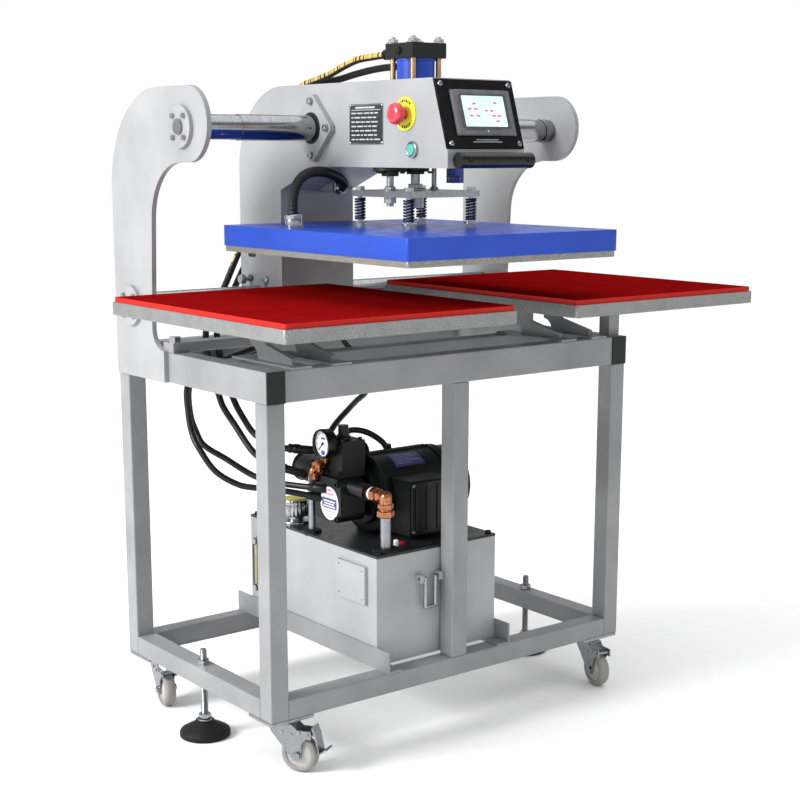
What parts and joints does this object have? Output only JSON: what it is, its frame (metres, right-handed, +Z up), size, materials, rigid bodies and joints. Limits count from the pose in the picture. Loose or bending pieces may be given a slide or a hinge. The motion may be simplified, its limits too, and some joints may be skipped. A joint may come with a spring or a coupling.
{
  "type": "two-station hydraulic heat press",
  "caption": "Floor-standing hydraulic heat press: a press head with a heated platen slides on shafts between two padded tables over a wheeled frame that carries the oil tank, pump and motor",
  "frame": {"origin": "on the floor, in the middle of the footprint of the tables, frame and rails, hoses and conduit left out", "axes": "+Z up; +X to the right for the operator, along the two shafts; +Y away from the operator, from the tables towards the rear rail"},
  "size_m": [1.17, 0.8116, 1.388],
  "materials": {
    "silver_paint": "light silver-grey powder coat",
    "plate_paint": "silver-grey paint on laser-cut plate",
    "tank_paint": "light grey paint",
    "black_paint": "black paint",
    "black_plastic": "matte black plastic",
    "bright_steel": "bright plated steel",
    "shaft_chrome": "ground and chromed shaft",
    "zinc_steel": "zinc-plated pressed steel",
    "aluminium_plate": "mill-finish aluminium",
    "pad_rubber": "dark red silicone sponge",
    "copper_alloy": "copper-coloured fittings",
    "yellow_plastic": "yellow plastic",
    "needle_red": "red pointer",
    "hose_rubber": "black hydraulic hose",
    "wheel_grey": "grey elastic wheel",
    "foot_rubber": "black foot with plated rod",
    "panel_black": "gloss black panel",
    "bezel_grey": "grey bezel with a lit screen",
    "grip_black": "black grip",
    "stop_red": "red mushroom button",
    "start_green": "green button",
    "cylinder_blue": "blue paint",
    "cover_blue": "blue paint on sheet steel",
    "heat_aluminium": "cast aluminium heated plate",
    "spring_steel": "plated spring wire",
    "switch_blue": "dark fittings, blue switch",
    "fan_grey": "grey fan"
  },
  "bodies": {
    "frame": {"legs": "silver_paint", "top_rails": "silver_paint", "lower_rails": "silver_paint", "tube_caps": "black_plastic", "end_plates": "plate_paint", "shaft_discs": "black_paint", "frame_fasteners": "bright_steel", "guide_shafts": "shaft_chrome", "tables": "aluminium_plate", "table_pads": "pad_rubber", "table_brackets": "silver_paint", "cross_member": "silver_paint", "tank_body": "tank_paint", "tank_lid": "black_paint", "tank_angles": "silver_paint", "level_gauge": "black_plastic", "pipes": "bright_steel", "copper_fittings": "copper_alloy", "breather_body": "bright_steel", "pump_body": "black_paint", "motor_body": "black_paint", "fan_cover": "black_paint", "valve_block": "black_paint", "gauge_case": "black_paint", "hoses": "hose_rubber", "caster_plates": "zinc_steel"},
    "carriage": {"head_frame": "plate_paint", "bearing_housings": "zinc_steel", "control_panel": "panel_black", "touch_screen": "bezel_grey", "grip_bar": "grip_black", "button_rings": "yellow_plastic", "cylinder_tube": "cylinder_blue", "cylinder_cap": "black_paint", "head_fittings": "switch_blue", "conduit": "black_plastic"},
    "ram": {"ram": "zinc_steel", "springs": "spring_steel"},
    "platen": {"spring_bolts": "zinc_steel", "platen_cover": "cover_blue", "heat_plate": "heat_aluminium"},
    "breather_cap_body": {"breather_cap": "yellow_plastic"},
    "motor_fan_body": {"motor_fan": "fan_grey"},
    "relief_knob_body": {"relief_knob": "black_plastic"},
    "gauge_needle_body": {"gauge_needle": "needle_red"},
    "brake_pedal_body": {"brake_pedal": "zinc_steel"},
    "levelling_foot_left_body": {"levelling_foot_left": "foot_rubber"},
    "levelling_foot_right_body": {"levelling_foot_right": "foot_rubber"},
    "tank_handle_body": {"tank_handle": "bright_steel"},
    "stop_button_body": {"stop_button": "stop_red"},
    "start_button_body": {"start_button": "start_green"},
    "switch_lever_body": {"switch_lever": "bright_steel"},
    "caster_front_left": {"caster_fork_front_left": "zinc_steel"},
    "wheel_front_left_body": {"wheel_front_left": "wheel_grey"},
    "caster_front_right": {"caster_fork_front_right": "zinc_steel"},
    "wheel_front_right_body": {"wheel_front_right": "wheel_grey"},
    "caster_rear_left": {"caster_fork_rear_left": "zinc_steel"},
    "wheel_rear_left_body": {"wheel_rear_left": "wheel_grey"},
    "caster_rear_right": {"caster_fork_rear_right": "zinc_steel"},
    "wheel_rear_right_body": {"wheel_rear_right": "wheel_grey"}
  },
  "joints": [
    {"name": "carriage_slide", "type": "slide", "parent": "frame", "child": "carriage", "axis": [1, 0, 0], "range_m": [-0.2535, 0.4065], "deforming": ["hoses"]},
    {"name": "ram_slide", "type": "slide", "parent": "carriage", "child": "ram", "axis": [0, 0, 1], "range_m": [-0.078, 0], "deforming": ["conduit"]},
    {"name": "platen_float", "type": "slide", "parent": "ram", "child": "platen", "axis": [0, 0, 1], "range_m": [0, 0.006], "stiffness_N_per_m": 60000, "springref_m": -0.01, "deforming": ["springs", "conduit"]},
    {"name": "stop_press", "type": "slide", "parent": "carriage", "child": "stop_button_body", "axis": [1, 0, 0], "range_m": [0, 0.005], "stiffness_N_per_m": 800, "springref_m": -0.005},
    {"name": "start_press", "type": "slide", "parent": "carriage", "child": "start_button_body", "axis": [1, 0, 0], "range_m": [0, 0.003], "stiffness_N_per_m": 600, "springref_m": -0.002},
    {"name": "switch_lever_pivot", "type": "hinge", "parent": "carriage", "child": "switch_lever_body", "pos_m": [-0.0255, -0.15175, 1.127], "axis": [-1, 0, 0], "range_deg": [0, 15], "stiffness_Nm_per_rad": 0.05, "springref_deg": -11.46},
    {"name": "swivel_front_left", "type": "hinge", "parent": "frame", "child": "caster_front_left", "pos_m": [-0.415, -0.11925, 0.098], "axis": [0, 0, 1], "continuous": true},
    {"name": "roll_front_left", "type": "hinge", "parent": "caster_front_left", "child": "wheel_front_left_body", "pos_m": [-0.3944, -0.15354, 0.0375], "axis": [0.8572, 0.515, 0], "continuous": true},
    {"name": "swivel_front_right", "type": "hinge", "parent": "frame", "child": "caster_front_right", "pos_m": [0.415, -0.11925, 0.098], "axis": [0, 0, 1], "continuous": true},
    {"name": "roll_front_right", "type": "hinge", "parent": "caster_front_right", "child": "wheel_front_right_body", "pos_m": [0.40737, -0.15851, 0.0375], "axis": [0.9816, -0.1908, 0], "continuous": true},
    {"name": "swivel_rear_left", "type": "hinge", "parent": "frame", "child": "caster_rear_left", "pos_m": [-0.415, 0.36075, 0.098], "axis": [0, 0, 1], "continuous": true},
    {"name": "roll_rear_left", "type": "hinge", "parent": "caster_rear_left", "child": "wheel_rear_left_body", "pos_m": [-0.42263, 0.32149, 0.0375], "axis": [0.9816, -0.1908, 0], "continuous": true},
    {"name": "swivel_rear_right", "type": "hinge", "parent": "frame", "child": "caster_rear_right", "pos_m": [0.415, 0.36075, 0.098], "axis": [0, 0, 1], "continuous": true},
    {"name": "roll_rear_right", "type": "hinge", "parent": "caster_rear_right", "child": "wheel_rear_right_body", "pos_m": [0.40737, 0.32149, 0.0375], "axis": [0.9816, -0.1908, 0], "continuous": true},
    {"name": "brake_pedal_pivot", "type": "hinge", "parent": "caster_front_left", "child": "brake_pedal_body", "pos_m": [-0.38307, -0.17239, 0.08], "axis": [-0.8572, -0.515, 0], "range_deg": [0, 15]},
    {"name": "levelling_foot_left_screw", "type": "slide", "parent": "frame", "child": "levelling_foot_left_body", "axis": [0, 0, 1], "range_m": [0, 0.03]},
    {"name": "levelling_foot_right_screw", "type": "slide", "parent": "frame", "child": "levelling_foot_right_body", "axis": [0, 0, 1], "range_m": [0, 0.03]},
    {"name": "tank_handle_swing", "type": "hinge", "parent": "frame", "child": "tank_handle_body", "pos_m": [-0.052, -0.12825, 0.324], "axis": [-1, 0, 0], "range_deg": [0, 90]},
    {"name": "breather_cap_turn", "type": "hinge", "parent": "frame", "child": "breather_cap_body", "pos_m": [-0.14, 0.23075, 0.43], "axis": [0, 0, 1], "continuous": true},
    {"name": "motor_fan_spin", "type": "hinge", "parent": "frame", "child": "motor_fan_body", "pos_m": [0.12, 0.06675, 0.469], "axis": [1, 0, 0], "continuous": true},
    {"name": "relief_knob_turn", "type": "hinge", "parent": "frame", "child": "relief_knob_body", "pos_m": [-0.129, 0.06675, 0.611], "axis": [0, 0, 1], "continuous": true},
    {"name": "gauge_needle_turn", "type": "hinge", "parent": "frame", "child": "gauge_needle_body", "pos_m": [-0.175, 0.07675, 0.585], "axis": [1, 0, 0], "range_deg": [0, 270], "stiffness_Nm_per_rad": 0.002, "springref_deg": -11.46}
  ]
}
